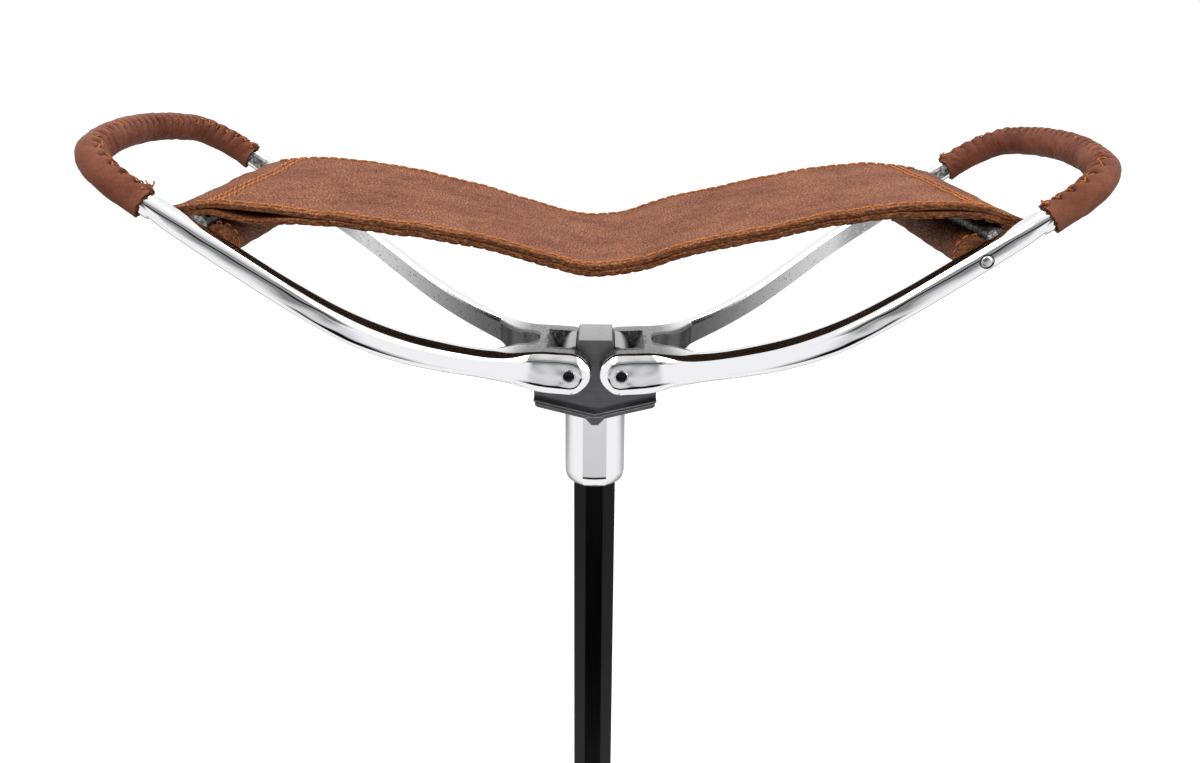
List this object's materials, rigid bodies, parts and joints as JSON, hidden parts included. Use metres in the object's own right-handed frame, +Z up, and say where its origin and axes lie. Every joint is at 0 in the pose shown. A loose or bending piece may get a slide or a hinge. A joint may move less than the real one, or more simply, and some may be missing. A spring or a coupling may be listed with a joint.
{
  "type": "walking stick seat",
  "caption": "Walking stick with a folding seat: a leather sling between two polished cast arms with laced leather grips, on a black octagonal stick.",
  "frame": {"origin": "middle of the rubber foot, on the ground, under the stick's axis", "axes": "+Z up along the stick, +X to the right of someone who faces the seat, +Y to its back"},
  "size_m": [0.4326, 0.1464, 0.734],
  "materials": {
    "polished_alloy": "polished",
    "dark_alloy": "satin",
    "black_tube": "satin",
    "bright_steel": "satin",
    "grip_leather": "satin",
    "sling_leather": "satin",
    "black_rubber": "matte",
    "black_nylon": "matte"
  },
  "bodies": {
    "root": {"head_block": "dark_alloy", "collar": "polished_alloy", "collar_pin": "bright_steel", "stick_tube": "black_tube", "foot_ferrule": "polished_alloy", "end_plug": "black_nylon", "ground_plate": "bright_steel", "plate_washer": "bright_steel", "plate_nut": "bright_steel", "spike": "bright_steel", "sling_top_ply": "sling_leather", "sling_bottom_ply": "sling_leather"},
    "right_arm_body": {"right_arm": "polished_alloy", "right_hinge_pin": "bright_steel", "right_handle_wrap": "grip_leather", "right_strap_rod": "bright_steel", "right_strap_loop": "sling_leather"},
    "left_arm_body": {"left_arm": "polished_alloy", "left_hinge_pin": "bright_steel", "left_handle_wrap": "grip_leather", "left_strap_rod": "bright_steel", "left_strap_loop": "sling_leather"},
    "ferrule_body": {"rubber_ferrule": "black_rubber", "rubber_ferrule_washer": "bright_steel"}
  },
  "joints": [
    {"name": "right_arm_fold", "type": "hinge", "parent": "root", "child": "right_arm_body", "pos_m": [0.0123, 0, 0.62], "axis": [0, -1, 0], "range_deg": [0, 63], "deforming": ["sling_top_ply", "sling_bottom_ply"]},
    {"name": "left_arm_fold", "type": "hinge", "parent": "root", "child": "left_arm_body", "pos_m": [-0.0123, 0, 0.62], "axis": [0, 1, 0], "range_deg": [0, 62], "deforming": ["sling_top_ply", "sling_bottom_ply"]},
    {"name": "rubber_ferrule_pull", "type": "slide", "parent": "root", "child": "ferrule_body", "axis": [0, 0, -1], "range_m": [0, 0.045]}
  ]
}
